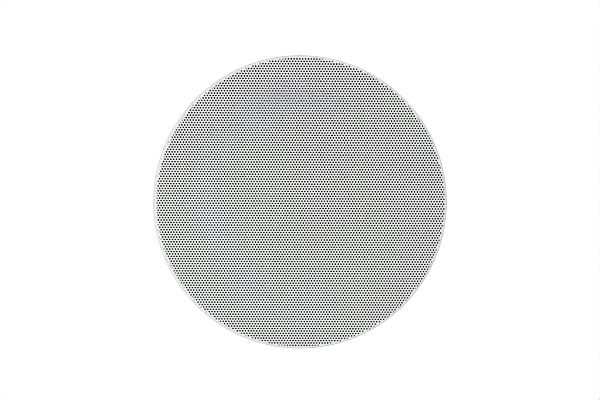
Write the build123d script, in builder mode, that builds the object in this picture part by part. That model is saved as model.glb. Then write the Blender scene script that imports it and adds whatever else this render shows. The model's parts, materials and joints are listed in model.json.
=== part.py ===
from build123d import *

import os
from math import cos, hypot, radians, sin, sqrt, tan

# Round in-ceiling loudspeaker with a perforated steel grille held on by magnets.
# Millimetres. The origin is the centre of the ceiling plane, where the foam gasket meets the board.
# +Z points up into the ceiling void, and the grille faces down, along -Z.

# Woofer chassis and cone
woofer_diameter = 202.0
woofer_flange_thickness = 2.5
woofer_screw_inset = 4.0
woofer_screw_count = 6
woofer_screw_first_angle = 30.0
basket_wall = 2.5
basket_skirt_height = 11.0
basket_height = 59.5
basket_neck_radius = 45.5
basket_neck_height = 10.0
basket_window_count = 12
basket_window_angle = 17.0
basket_window_corner = 3.0
basket_window_margin = 6.0
spider_shelf_width = 7.0
surround_lip_width = 8.5
surround_lip_thickness = 1.0
surround_roll_radius = 4.4
surround_glue_width = 3.6
surround_clearance = 0.1
cone_wall = 0.8
cone_angle = 30.0
dust_cap_radius = 26.0
dust_cap_rise = 5.0
dust_cap_wall = 0.6
spider_wall = 0.7
spider_wave_height = 2.2
spider_wave_count = 3

# Voice coil and motor
former_radius = 16.3
former_wall = 0.3
former_above_coil = 1.5
winding_thickness = 0.8
winding_length = 11.0
gap_outside_coil = 0.8
gap_inside_former = 0.6
top_plate_radius = 46.0
top_plate_thickness = 6.0
ferrite_outer_radius = 50.0
ferrite_inner_radius = 28.0
ferrite_thickness = 16.0
back_plate_radius = 46.0
back_plate_thickness = 6.0
back_plate_chamfer = 2.0
pole_vent_radius = 5.0

# Frame that goes through the ceiling board
wall_thickness = 3.0
wall_height = 34.0
pot_inset = 1.0
flange_width = 12.1
ledge_rear = 4.0
ledge_thickness = 3.0
gasket_thickness = 1.2
gasket_width = 9.0
rib_thickness = 2.0
rib_height = 16.0
rib_length = 11.0
rib_spread = 10.0

# Inner radius of the folds in steel strip
fold_radius = 0.4

# Folded steel tab for a safety cable
tether_sheet = 1.5
tether_width = 16.0
tether_rise = 13.0
tether_corner = 4.0
tether_hole_radius = 3.0
tether_foot_length = 9.0
tether_wall_gap = 0.6

# Grille of perforated sheet. The sheet itself has 1.5 mm round holes on a 2.5 mm stagger.
# Here fewer and larger six-sided holes keep the same stagger and the same share of open area.
grille_sheet = 0.9
grille_depth = 6.0
grille_bend_radius = 1.8
grille_play = 0.5
grille_ceiling_gap = 0.4
perforation_pitch = 20.5
perforation_hole = 12.3
perforation_sides = 6
perforation_border = 6.0
scrim_thickness = 0.3
scrim_play = 1.7
magnet_length = 16.0
magnet_width = 6.0
magnet_height = 2.6
magnet_proud = 0.2
magnet_play = 0.1
magnet_edge = 2.4
magnet_count = 8

# Swing-out clamps that pull the flange against the board
clamp_count = 4
clamp_first_angle = 45.0
clamp_lowest = 9.0
clamp_travel = 18.0
clamp_gap = 0.3
clamp_wall_gap = 0.7
leg_hub_radius = 6.0
leg_height = 8.0
leg_reach = 22.5
leg_tip_radius = 4.5
leg_foot_height = 1.6
leg_foot_radius = 3.4
nut_head_height = 4.0
nut_collar_wall = 1.7
nut_lip_height = 1.3
nut_lip_width = 1.0
nut_axial_play = 0.1
running_play = 0.1
screw_radius = 2.5
screw_head_radius = 4.4
screw_head_height = 2.8
screw_hole_play = 0.25
screw_collar_radius = 3.8
screw_collar_height = 1.2
screw_tip = 0.4
recess_length = 5.0
recess_width = 1.2
recess_depth = 1.5
tower_wall = 3.5
tower_cap_thickness = 3.0
tower_cap_gap = 3.0

# Small self-tapping fasteners, drawn six-sided
tapping_sides = 6
tapping_radius = 1.6
tapping_head_radius = 3.1
tapping_head_height = 2.0
tapping_play = 0.05

# Tweeter on its bridge
bridge_front_gap = 0.2
bridge_thickness = 3.0
bridge_arm_width = 16.0
bridge_pad_length = 14.0
bridge_pad_gap = 1.0
hub_wall = 3.8
hub_height = 18.4
hub_lip = 1.7
hub_lip_thickness = 1.0
carrier_wall = 4.0
carrier_play = 0.3
carrier_height = 15.0
carrier_seat_gap = 0.1
capsule_radius = 17.6
capsule_play = 1.6
capsule_front = 3.0
capsule_rear = 9.0
capsule_bevel = 4.0
tilt_height = 8.0
trunnion_radius = 1.8
dome_radius = 12.5
dome_rise = 3.6
dome_wall = 0.5
dome_recess = 4.0
dome_rim = 0.1
tweeter_motor_radius = 12.0
tweeter_motor_height = 3.0

# Level switch in one arm of the bridge
switch_place = 52.0
switch_length = 12.0
switch_width = 7.0
switch_height = 6.0
switch_recess = 1.4
switch_slot_length = 7.4
switch_slot_width = 2.9
switch_slot_depth = 1.6
switch_knob_length = 3.0
switch_knob_proud = 1.2
switch_play = 0.2

# Crossover on its folded bracket
bracket_sheet = 1.5
bracket_width = 44.0
bracket_foot_gap = 2.0
bracket_foot_length = 7.0
bracket_jog_height = 20.0
bracket_jog_length = 16.0
bracket_screw_spacing = 32.0
spacer_height = 3.0
spacer_radius = 3.0
board_width = 64.0
board_height = 46.0
board_thickness = 1.6
board_edge = 4.5
board_foot_gap = 1.5
component_gap = 1.0
inductor_radius = 12.5
inductor_height = 13.0
inductor_core_radius = 5.5
inductor_flange = 1.2
inductor_rim = 1.0
large_capacitor_radius = 6.5
large_capacitor_length = 22.0
large_capacitor_shift = 3.0
small_capacitor_radius = 3.5
small_capacitor_length = 24.0
resistor_length = 15.0
resistor_size = 7.0
terminal_width = 33.0
terminal_height = 19.0
terminal_depth = 15.0
terminal_pitch = 16.0
terminal_edge = 1.5
wire_hole_radius = 2.0
wire_hole_depth = 10.0
wire_hole_drop = 5.0
button_width = 10.0
button_height = 6.0
button_length = 12.0
button_pocket = 10.5
button_rise = 4.5
button_play = 0.2
button_travel = 2.5

# Radii that follow from the sizes above
woofer_radius = woofer_diameter / 2
clamp_radius = woofer_radius + clamp_gap + leg_hub_radius
wall_inner = clamp_radius + leg_hub_radius + clamp_wall_gap
body_radius = wall_inner + wall_thickness
pot_radius = wall_inner - pot_inset
flange_radius = body_radius + flange_width
grille_radius = flange_radius + grille_play + grille_sheet
magnet_ring = flange_radius - magnet_edge - magnet_width / 2
scrim_radius = flange_radius - scrim_play
basket_skirt_radius = woofer_radius - surround_lip_width - surround_clearance - 2 * surround_lip_thickness
surround_outer = woofer_radius - surround_clearance
roll_centre = basket_skirt_radius - surround_clearance - surround_roll_radius
ledge_opening = roll_centre + surround_roll_radius
woofer_screw_ring = woofer_radius - woofer_screw_inset

# Heights that follow from the sizes above
flange_top = -gasket_thickness
grille_face = -grille_depth
grille_inner = grille_face + grille_sheet
scrim_rear = grille_inner + scrim_thickness
flange_bottom = scrim_rear + magnet_proud
ledge_front = ledge_rear - ledge_thickness
woofer_seat = ledge_rear + surround_lip_thickness
woofer_flange_rear = woofer_seat + woofer_flange_thickness
motor_seat = woofer_seat + basket_height
leg_rest = clamp_lowest + clamp_travel
nut_seat = leg_rest + leg_height + nut_axial_play
nut_top = nut_seat + nut_head_height
tower_top = nut_top + tower_cap_gap
notch_bottom = clamp_lowest - leg_foot_height - clamp_wall_gap
bridge_front = flange_bottom + bridge_front_gap
tapping_hole = tapping_radius + tapping_play


def turned(*points):
    """A closed outline of (radius, height) points, to be revolved about the vertical axis."""
    with BuildSketch(Plane.XZ) as outline:
        with BuildLine():
            Polyline(*points, close=True)
        make_face()
    return outline.sketch


def shallow_dome(radius, seat, rise, wall):
    """Outline of a thin dome that bulges to the front from a round edge at the height of its seat."""
    curve = (radius**2 + rise**2) / (2 * rise)
    with BuildSketch(Plane.XZ) as outline:
        with BuildLine():
            RadiusArc((0, seat - rise), (radius, seat), -curve)
            Line((radius, seat), (radius, seat + wall))
            RadiusArc((radius, seat + wall), (0, seat + wall - rise), curve)
            Line((0, seat + wall - rise), (0, seat - rise))
        make_face()
    return outline.sketch


def folded(sheet, radii, *points):
    """Section of a strip that lies on the right of a line of points, with a rounded fold at each corner."""
    with BuildSketch(Plane.XZ) as section:
        with BuildLine():
            FilletPolyline(*points, radius=radii)
            offset(amount=sheet, side=Side.RIGHT)
        make_face()
    return section.sketch


def ring_plane(radius, angle):
    """A level plane at a point of a circle, with its X direction pointing outwards."""
    out = (cos(radians(angle)), sin(radians(angle)), 0)
    return Plane(origin=(radius * out[0], radius * out[1], 0), x_dir=out, z_dir=(0, 0, 1))


def stagger(pitch, reach):
    """Centres of a 60 degree staggered pattern that lie within a circle."""
    row_height = pitch * sqrt(3) / 2
    rows = int(reach / row_height)
    columns = int(reach / pitch) + 1
    centres = []
    for row in range(-rows, rows + 1):
        shift = pitch / 2 * (row % 2)
        for column in range(-columns, columns + 1):
            x = column * pitch + shift
            y = row * row_height
            if hypot(x, y) <= reach:
                centres.append((x, y))
    return centres


def ring_points(radius, count, first_angle):
    """Points spaced evenly round a circle."""
    angles = [radians(first_angle + 360 * index / count) for index in range(count)]
    return [(radius * cos(angle), radius * sin(angle)) for angle in angles]


os.makedirs("parts", exist_ok=True)

clamp_planes = [
    ring_plane(clamp_radius, clamp_first_angle + 360 * index / clamp_count)
    for index in range(clamp_count)
]
woofer_screw_points = ring_points(woofer_screw_ring, woofer_screw_count, woofer_screw_first_angle)
bridge_screw_ring = ledge_opening + bridge_pad_gap + bridge_pad_length / 2
bridge_screw_points = ring_points(bridge_screw_ring, 2, 0)
bracket_riser = woofer_radius + bracket_foot_gap
bracket_foot_end = bracket_riser + bracket_sheet + bracket_foot_length
bracket_screw_x = bracket_riser + bracket_sheet + bracket_foot_length / 2
tether_outer = wall_inner - tether_wall_gap
tether_inner = tether_outer - tether_sheet
tether_screw_point = (-tether_inner + tether_foot_length / 2, 0)
bracket_screw_points = [
    (bracket_screw_x, -bracket_screw_spacing / 2),
    (bracket_screw_x, bracket_screw_spacing / 2),
]


# Frame: flange, wall, woofer ledge, ribs and clamp towers, moulded in one piece
notch_reach = leg_reach + leg_tip_radius + 2 * clamp_wall_gap
guide_face = leg_hub_radius + clamp_gap
rib_sides = (90, 180, 270)
rib_angles = [side + turn for side in rib_sides for turn in (-rib_spread, rib_spread)]

with BuildPart() as frame:
    revolve(
        turned(
            (pot_radius, flange_bottom),
            (flange_radius, flange_bottom),
            (flange_radius, flange_top),
            (body_radius, flange_top),
            (body_radius, wall_height),
            (wall_inner, wall_height),
            (wall_inner, ledge_rear),
            (ledge_opening, ledge_rear),
            (ledge_opening, ledge_front),
            (pot_radius, ledge_front),
        ),
        axis=Axis.Z,
    )
    for plane in clamp_planes:
        # Opening in the wall that the leg swings through
        with BuildSketch(plane.offset(notch_bottom)):
            with Locations((0, -guide_face)):
                Rectangle(body_radius - clamp_radius + wall_thickness, notch_reach + guide_face,
                          align=(Align.MIN, Align.MIN))
        extrude(amount=wall_height, mode=Mode.SUBTRACT)
        # Upright that the nut slides along, and the cap over the end of the screw
        with BuildSketch(plane.offset(ledge_rear)):
            with Locations((-leg_hub_radius, -guide_face)):
                Rectangle(body_radius - clamp_radius + leg_hub_radius - clamp_wall_gap, tower_wall,
                          align=(Align.MIN, Align.MAX))
        extrude(amount=tower_top - ledge_rear)
        with BuildSketch(plane.offset(tower_top)):
            Circle(leg_hub_radius)
            with Locations((0, -guide_face - tower_wall)):
                Rectangle(2 * leg_hub_radius, guide_face + tower_wall, align=(Align.CENTER, Align.MIN))
        extrude(amount=tower_cap_thickness)
        with BuildSketch(plane.offset(ledge_front)):
            Circle(screw_radius + screw_hole_play)
        extrude(amount=ledge_thickness, mode=Mode.SUBTRACT)
    for angle in rib_angles:
        out = ring_plane(wall_inner, angle).x_dir
        across = Vector(-out.Y, out.X, 0)
        with BuildSketch(Plane(origin=out * wall_inner, x_dir=out, z_dir=-across)):
            with BuildLine():
                Polyline(
                    (wall_thickness / 2, ledge_rear - ledge_thickness / 2),
                    (-rib_length, ledge_rear - ledge_thickness / 2),
                    (-rib_length, ledge_rear),
                    (0, ledge_rear + rib_height),
                    (wall_thickness / 2, ledge_rear + rib_height),
                    close=True,
                )
            make_face()
        extrude(amount=rib_thickness / 2, both=True)
    # Pockets for the grille magnets, and holes for the tapping screws
    with BuildSketch(Plane.XY.offset(flange_bottom)):
        with PolarLocations(magnet_ring, magnet_count, start_angle=180 / magnet_count):
            Rectangle(magnet_width + 2 * magnet_play, magnet_length + 2 * magnet_play)
    extrude(amount=magnet_height - magnet_proud, mode=Mode.SUBTRACT)
    with BuildSketch(Plane.XY.offset(ledge_front)):
        with Locations(*woofer_screw_points, *bridge_screw_points, *bracket_screw_points, tether_screw_point):
            RegularPolygon(tapping_hole, tapping_sides)
    extrude(amount=ledge_thickness, mode=Mode.SUBTRACT)
frame.part.label = "frame"
export_step(frame.part, "parts/frame.step")

# Safety tab: a steel strip with a foot on the ledge, opposite the crossover, and an eye above the wall
tether_top = wall_height + tether_rise
with BuildPart() as safety_tab:
    extrude(
        folded(
            tether_sheet,
            [fold_radius + tether_sheet],
            (tether_foot_length - tether_inner, ledge_rear),
            (-tether_outer, ledge_rear),
            (-tether_outer, tether_top),
        ),
        amount=tether_width / 2,
        both=True,
    )
    fillet(safety_tab.edges().filter_by(Axis.X).group_by(Axis.Z)[-1], tether_corner)
    with BuildSketch(Plane.YZ.offset(-tether_outer)):
        with Locations((0, tether_top - tether_rise / 2)):
            Circle(tether_hole_radius)
    extrude(amount=tether_sheet, mode=Mode.SUBTRACT)
    with BuildSketch(Plane.XY.offset(ledge_rear)):
        with Locations(tether_screw_point):
            RegularPolygon(tapping_hole, tapping_sides)
    extrude(amount=tether_sheet, mode=Mode.SUBTRACT)
safety_tab.part.label = "safety_tab"
export_step(safety_tab.part, "parts/safety_tab.step")

# Foam gasket between the flange and the ceiling board
gasket_outer = flange_radius - (flange_width - gasket_width) / 2
with BuildPart() as ceiling_gasket:
    with BuildSketch(Plane.XY.offset(flange_top)):
        Circle(gasket_outer)
        Circle(gasket_outer - gasket_width, mode=Mode.SUBTRACT)
    extrude(amount=gasket_thickness)
ceiling_gasket.part.label = "ceiling_gasket"
export_step(ceiling_gasket.part, "parts/ceiling_gasket.step")

# Block magnets set in the flange, which hold the grille through its cloth
with BuildPart() as grille_magnets:
    with BuildSketch(Plane.XY.offset(scrim_rear)):
        with PolarLocations(magnet_ring, magnet_count, start_angle=180 / magnet_count):
            Rectangle(magnet_width, magnet_length)
    extrude(amount=magnet_height)
grille_magnets.part.label = "grille_magnets"
export_step(grille_magnets.part, "parts/grille_magnets.step")

# Grille: a shallow pressed cap with a bent edge and a staggered field of holes
skirt_top = -grille_ceiling_gap
perforation_reach = grille_radius - perforation_border - perforation_hole / sqrt(3)
with BuildPart() as grille:
    with BuildSketch(Plane.XZ):
        with BuildLine():
            Polyline(
                (0, grille_inner),
                (0, grille_face),
                (grille_radius - grille_bend_radius, grille_face),
            )
            RadiusArc(
                (grille_radius - grille_bend_radius, grille_face),
                (grille_radius, grille_face + grille_bend_radius),
                -grille_bend_radius,
            )
            Polyline(
                (grille_radius, grille_face + grille_bend_radius),
                (grille_radius, skirt_top),
                (grille_radius - grille_sheet, skirt_top),
                (grille_radius - grille_sheet, grille_face + grille_bend_radius),
            )
            RadiusArc(
                (grille_radius - grille_sheet, grille_face + grille_bend_radius),
                (grille_radius - grille_bend_radius, grille_inner),
                grille_bend_radius - grille_sheet,
            )
            Line((grille_radius - grille_bend_radius, grille_inner), (0, grille_inner))
        make_face()
    revolve(axis=Axis.Z)
    with BuildSketch(Plane.XY.offset(grille_face)):
        with Locations(*stagger(perforation_pitch, perforation_reach)):
            RegularPolygon(perforation_hole / 2, perforation_sides, major_radius=False,
                           rotation=180 / perforation_sides)
    extrude(amount=grille_sheet, mode=Mode.SUBTRACT)
grille.part.label = "grille"
export_step(grille.part, "parts/grille.step")

# Black cloth behind the holes
with BuildPart() as grille_scrim:
    with BuildSketch(Plane.XY.offset(grille_inner)):
        Circle(scrim_radius)
    extrude(amount=scrim_thickness)
grille_scrim.part.label = "grille_scrim"
export_step(grille_scrim.part, "parts/grille_scrim.step")


# Swing-out clamps: leg, nut and screw at each tower
collar_radius = screw_radius + running_play + nut_collar_wall
for index, plane in enumerate(clamp_planes, start=1):
    with BuildPart() as clamp_leg:
        with BuildSketch(plane.offset(leg_rest)):
            Circle(leg_hub_radius)
            with Locations((0, leg_reach)):
                Circle(leg_tip_radius)
            make_hull()
            Circle(collar_radius + running_play, mode=Mode.SUBTRACT)
        extrude(amount=leg_height)
        with BuildSketch(plane.offset(leg_rest)):
            with Locations((0, leg_reach)):
                Rectangle(2 * leg_foot_radius, leg_foot_radius)
        extrude(amount=-leg_foot_height)
    clamp_leg.part.label = f"clamp_leg_{index}"
    export_step(clamp_leg.part, f"parts/clamp_leg_{index}.step")

    with BuildPart() as clamp_nut:
        with BuildSketch(plane.offset(nut_seat)):
            Rectangle(2 * leg_hub_radius, 2 * leg_hub_radius)
        extrude(amount=nut_head_height)
        with BuildSketch(plane.offset(leg_rest - nut_axial_play)):
            Circle(collar_radius)
        extrude(amount=leg_height + 2 * nut_axial_play)
        with BuildSketch(plane.offset(leg_rest - nut_axial_play)):
            RegularPolygon(collar_radius + nut_lip_width, tapping_sides)
        extrude(amount=-nut_lip_height)
        with BuildSketch(plane.offset(nut_top)):
            Circle(screw_radius + running_play)
        extrude(amount=leg_rest - nut_lip_height - nut_axial_play - nut_top, mode=Mode.SUBTRACT)
    clamp_nut.part.label = f"clamp_nut_{index}"
    export_step(clamp_nut.part, f"parts/clamp_nut_{index}.step")

    with BuildPart() as clamp_screw:
        with BuildSketch(plane.offset(ledge_front)):
            Circle(screw_head_radius)
        extrude(amount=-screw_head_height)
        with BuildSketch(plane.offset(ledge_front)):
            Circle(screw_radius)
        extrude(amount=tower_top - screw_tip - ledge_front)
        with BuildSketch(plane.offset(ledge_rear + running_play)):
            RegularPolygon(screw_collar_radius, tapping_sides)
        extrude(amount=screw_collar_height)
        with BuildSketch(plane.offset(ledge_front - screw_head_height)):
            Rectangle(recess_length, recess_width)
            Rectangle(recess_width, recess_length)
        extrude(amount=recess_depth, mode=Mode.SUBTRACT)
    clamp_screw.part.label = f"clamp_screw_{index}"
    export_step(clamp_screw.part, f"parts/clamp_screw_{index}.step")


# Mounting ring that the basket's skirt is bonded to
skirt_outer = basket_skirt_radius + basket_wall
with BuildPart() as woofer_ring:
    with BuildSketch(Plane.XY.offset(woofer_seat)):
        Circle(woofer_radius)
        Circle(basket_skirt_radius, mode=Mode.SUBTRACT)
        with Locations(*woofer_screw_points):
            RegularPolygon(tapping_hole, tapping_sides, mode=Mode.SUBTRACT)
    extrude(amount=woofer_flange_thickness)
woofer_ring.part.label = "woofer_ring"
export_step(woofer_ring.part, "parts/woofer_ring.step")

# Woofer basket: skirt, windowed cone, spider shelf and motor plate in one moulding
skirt_rear = woofer_seat + basket_skirt_height
shelf_rear = motor_seat - basket_neck_height
shelf_front = shelf_rear - basket_wall
neck_inner = basket_neck_radius - basket_wall
shelf_outer = neck_inner + spider_shelf_width
spoke_outer = basket_skirt_radius - basket_window_margin
spoke_inner = shelf_outer + basket_window_margin
motor_bore = former_radius + winding_thickness + gap_outside_coil + basket_wall
half_window = radians(basket_window_angle / 2)
with BuildPart() as woofer_basket:
    revolve(
        turned(
            (basket_skirt_radius, woofer_flange_rear),
            (skirt_outer, woofer_flange_rear),
            (skirt_outer, skirt_rear),
            (shelf_outer + basket_wall, shelf_rear),
            (basket_neck_radius, shelf_rear),
            (basket_neck_radius, motor_seat),
            (motor_bore, motor_seat),
            (motor_bore, motor_seat - basket_wall),
            (neck_inner, motor_seat - basket_wall),
            (neck_inner, shelf_front),
            (shelf_outer, shelf_front),
            (basket_skirt_radius, skirt_rear - basket_wall / 2),
        ),
        axis=Axis.Z,
    )
    with BuildSketch(Plane.XY.offset(woofer_flange_rear)) as windows:
        with PolarLocations(0, basket_window_count, start_angle=180 / basket_window_count):
            Polygon(
                (spoke_inner * cos(half_window), -spoke_inner * sin(half_window)),
                (spoke_outer * cos(half_window), -spoke_outer * sin(half_window)),
                (spoke_outer * cos(half_window), spoke_outer * sin(half_window)),
                (spoke_inner * cos(half_window), spoke_inner * sin(half_window)),
                align=None,
            )
        fillet(windows.vertices(), basket_window_corner)
    extrude(amount=motor_seat - woofer_flange_rear, mode=Mode.SUBTRACT)
woofer_basket.part.label = "woofer_basket"
export_step(woofer_basket.part, "parts/woofer_basket.step")

# Screws that hold the mounting ring to the ledge
with BuildPart() as woofer_screws:
    with BuildSketch(Plane.XY.offset(woofer_flange_rear)):
        with Locations(*woofer_screw_points):
            RegularPolygon(tapping_head_radius, tapping_sides)
    extrude(amount=tapping_head_height)
    with BuildSketch(Plane.XY.offset(woofer_flange_rear)):
        with Locations(*woofer_screw_points):
            RegularPolygon(tapping_radius, tapping_sides)
    extrude(amount=ledge_front - woofer_flange_rear)
woofer_screws.part.label = "woofer_screws"
export_step(woofer_screws.part, "parts/woofer_screws.step")

# Rubber surround with a roll that bulges to the rear, and a lip clamped under the mounting ring
roll_inner = surround_roll_radius - surround_lip_thickness
cone_rim_outer = roll_centre - roll_inner
glue_inner = cone_rim_outer - surround_glue_width
lip_rear = ledge_rear + surround_lip_thickness
roll_half = sqrt(surround_roll_radius**2 - surround_lip_thickness**2)
with BuildPart() as woofer_surround:
    with BuildSketch(Plane.XZ):
        with BuildLine():
            Line((glue_inner, ledge_rear), (cone_rim_outer, ledge_rear))
            ThreePointArc(
                (cone_rim_outer, ledge_rear),
                (roll_centre, ledge_rear + roll_inner),
                (roll_centre + roll_inner, ledge_rear),
            )
            Polyline(
                (roll_centre + roll_inner, ledge_rear),
                (surround_outer, ledge_rear),
                (surround_outer, lip_rear),
                (roll_centre + roll_half, lip_rear),
            )
            ThreePointArc(
                (roll_centre + roll_half, lip_rear),
                (roll_centre, ledge_rear + surround_roll_radius),
                (roll_centre - roll_half, lip_rear),
            )
            Polyline(
                (roll_centre - roll_half, lip_rear),
                (glue_inner, lip_rear),
                (glue_inner, ledge_rear),
            )
        make_face()
    revolve(axis=Axis.Z)
    with BuildSketch(Plane.XY.offset(ledge_rear)):
        with Locations(*woofer_screw_points):
            RegularPolygon(tapping_hole, tapping_sides)
    extrude(amount=surround_lip_thickness, mode=Mode.SUBTRACT)
woofer_surround.part.label = "woofer_surround"
export_step(woofer_surround.part, "parts/woofer_surround.step")

# Cone with a flat rim under the surround's inner lip
cone_slope = tan(radians(cone_angle))
cone_foot = glue_inner - surround_clearance
neck_radius = former_radius + surround_clearance
neck_height = ledge_rear + (cone_foot - neck_radius) * cone_slope
cone_lift = cone_wall / cos(radians(cone_angle))
with BuildPart() as woofer_cone:
    revolve(
        turned(
            (cone_foot, ledge_rear),
            (neck_radius, neck_height),
            (neck_radius, neck_height - cone_lift),
            (cone_foot - cone_wall * cone_slope, ledge_rear - cone_wall),
            (cone_rim_outer, ledge_rear - cone_wall),
            (cone_rim_outer, ledge_rear),
        ),
        axis=Axis.Z,
    )
woofer_cone.part.label = "woofer_cone"
export_step(woofer_cone.part, "parts/woofer_cone.step")

# Dust cap, a shallow dome glued to the front of the cone
cap_seat = (neck_height - cone_lift - (dust_cap_radius - neck_radius) * cone_slope
            - dust_cap_wall - surround_clearance)
with BuildPart() as dust_cap:
    revolve(shallow_dome(dust_cap_radius, cap_seat, dust_cap_rise, dust_cap_wall), axis=Axis.Z)
dust_cap.part.label = "dust_cap"
export_step(dust_cap.part, "parts/dust_cap.step")

# Voice coil: a former with a winding that hangs in the magnet gap
gap_middle = motor_seat + top_plate_thickness / 2
winding_front = gap_middle - winding_length / 2
former_rear = gap_middle + winding_length / 2 + former_above_coil
former_inner = former_radius - former_wall
with BuildPart() as voice_coil_former:
    with BuildSketch(Plane.XY.offset(neck_height - 2 * cone_lift)):
        Circle(former_radius)
        Circle(former_inner, mode=Mode.SUBTRACT)
    extrude(amount=former_rear - neck_height + 2 * cone_lift)
voice_coil_former.part.label = "voice_coil_former"
export_step(voice_coil_former.part, "parts/voice_coil_former.step")

with BuildPart() as voice_coil_winding:
    with BuildSketch(Plane.XY.offset(winding_front)):
        Circle(former_radius + winding_thickness)
        Circle(former_radius, mode=Mode.SUBTRACT)
    extrude(amount=winding_length)
voice_coil_winding.part.label = "voice_coil_winding"
export_step(voice_coil_winding.part, "parts/voice_coil_winding.step")

# Spider, a corrugated disc that centres the coil
spider_outer = shelf_outer - surround_clearance
spider_inner = former_radius + surround_clearance
wave_length = (neck_inner - spider_inner) / spider_wave_count
wave_front = []
for wave in range(spider_wave_count):
    wave_start = spider_inner + wave * wave_length
    wave_front.append((wave_start, shelf_front - spider_wall))
    wave_front.append((wave_start + wave_length / 2, shelf_front - spider_wall - spider_wave_height))
shelf_seat = [(neck_inner, shelf_front - spider_wall), (spider_outer, shelf_front - spider_wall)]
spider_front = wave_front + shelf_seat
spider_rear = [(radius, height + spider_wall) for radius, height in reversed(spider_front)]
with BuildPart() as spider:
    revolve(turned(*spider_front, *spider_rear), axis=Axis.Z)
spider.part.label = "spider"
export_step(spider.part, "parts/spider.step")

# Motor: top plate, ferrite ring, and yoke with a vented pole
ferrite_front = motor_seat + top_plate_thickness
yoke_front = ferrite_front + ferrite_thickness
gap_radius = former_radius + winding_thickness + gap_outside_coil
pole_radius = former_inner - gap_inside_former
with BuildPart() as top_plate:
    with BuildSketch(Plane.XY.offset(motor_seat)):
        Circle(top_plate_radius)
        Circle(gap_radius, mode=Mode.SUBTRACT)
    extrude(amount=top_plate_thickness)
top_plate.part.label = "top_plate"
export_step(top_plate.part, "parts/top_plate.step")

with BuildPart() as ferrite_magnet:
    with BuildSketch(Plane.XY.offset(ferrite_front)):
        Circle(ferrite_outer_radius)
        Circle(ferrite_inner_radius, mode=Mode.SUBTRACT)
    extrude(amount=ferrite_thickness)
ferrite_magnet.part.label = "ferrite_magnet"
export_step(ferrite_magnet.part, "parts/ferrite_magnet.step")

with BuildPart() as pole_yoke:
    with BuildSketch(Plane.XY.offset(yoke_front)):
        Circle(back_plate_radius)
    extrude(amount=back_plate_thickness)
    chamfer(pole_yoke.edges().group_by(Axis.Z)[-1], back_plate_chamfer)
    with BuildSketch(Plane.XY.offset(motor_seat)):
        Circle(pole_radius)
    extrude(amount=yoke_front - motor_seat)
    with BuildSketch(Plane.XY.offset(motor_seat)):
        Circle(pole_vent_radius)
    extrude(amount=yoke_front + back_plate_thickness - motor_seat, mode=Mode.SUBTRACT)
pole_yoke.part.label = "pole_yoke"
export_step(pole_yoke.part, "parts/pole_yoke.step")


# Bridge across the front, with a hub for the tweeter
carrier_inner = capsule_radius + capsule_play
carrier_outer = carrier_inner + carrier_wall
hub_inner = carrier_outer + carrier_play
hub_outer = hub_inner + hub_wall
arm_end = bridge_screw_ring - tapping_head_radius - running_play
switch_front = bridge_front + switch_recess
with BuildPart() as tweeter_bridge:
    with BuildSketch(Plane.XY.offset(bridge_front)):
        Rectangle(2 * arm_end, bridge_arm_width)
    extrude(amount=bridge_thickness)
    for side in (-1, 1):
        with BuildSketch(Plane.XY.offset(bridge_front + tapping_head_height)):
            with Locations((side * bridge_screw_ring, 0)):
                Rectangle(bridge_pad_length, bridge_arm_width)
        extrude(amount=ledge_front - bridge_front - tapping_head_height)
    with BuildSketch(Plane.XY.offset(bridge_front)):
        Circle(hub_outer)
    extrude(amount=hub_height)
    with BuildSketch(Plane.XY.offset(bridge_front)):
        Circle(hub_inner - hub_lip)
    extrude(amount=hub_lip_thickness, mode=Mode.SUBTRACT)
    with BuildSketch(Plane.XY.offset(bridge_front + hub_lip_thickness)):
        Circle(hub_inner)
    extrude(amount=hub_height, mode=Mode.SUBTRACT)
    with BuildSketch(Plane.XY.offset(bridge_front)):
        with Locations((-switch_place, 0)):
            Rectangle(switch_length, switch_width)
    extrude(amount=bridge_thickness, mode=Mode.SUBTRACT)
    with BuildSketch(Plane.XY.offset(bridge_front)):
        with Locations(*bridge_screw_points):
            RegularPolygon(tapping_hole, tapping_sides)
    extrude(amount=ledge_front - bridge_front, mode=Mode.SUBTRACT)
tweeter_bridge.part.label = "tweeter_bridge"
export_step(tweeter_bridge.part, "parts/tweeter_bridge.step")

# Screws that hold the bridge to the ledge
with BuildPart() as bridge_screws:
    with BuildSketch(Plane.XY.offset(bridge_front + tapping_head_height)):
        with Locations(*bridge_screw_points):
            RegularPolygon(tapping_head_radius, tapping_sides)
    extrude(amount=-tapping_head_height)
    with BuildSketch(Plane.XY.offset(bridge_front + tapping_head_height)):
        with Locations(*bridge_screw_points):
            RegularPolygon(tapping_radius, tapping_sides)
    extrude(amount=ledge_rear - bridge_front - tapping_head_height)
bridge_screws.part.label = "bridge_screws"
export_step(bridge_screws.part, "parts/bridge_screws.step")

# Ring that turns in the hub and carries the tweeter capsule on two trunnions
carrier_front = bridge_front + hub_lip_thickness + carrier_seat_gap
with BuildPart() as tweeter_carrier:
    with BuildSketch(Plane.XY.offset(carrier_front)):
        Circle(carrier_outer)
        Circle(carrier_inner, mode=Mode.SUBTRACT)
    extrude(amount=carrier_height)
    with BuildSketch(Plane.YZ.offset(-carrier_outer)):
        with Locations((0, tilt_height)):
            Circle(trunnion_radius + running_play)
    extrude(amount=2 * carrier_outer, mode=Mode.SUBTRACT)
tweeter_carrier.part.label = "tweeter_carrier"
export_step(tweeter_carrier.part, "parts/tweeter_carrier.step")

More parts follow.
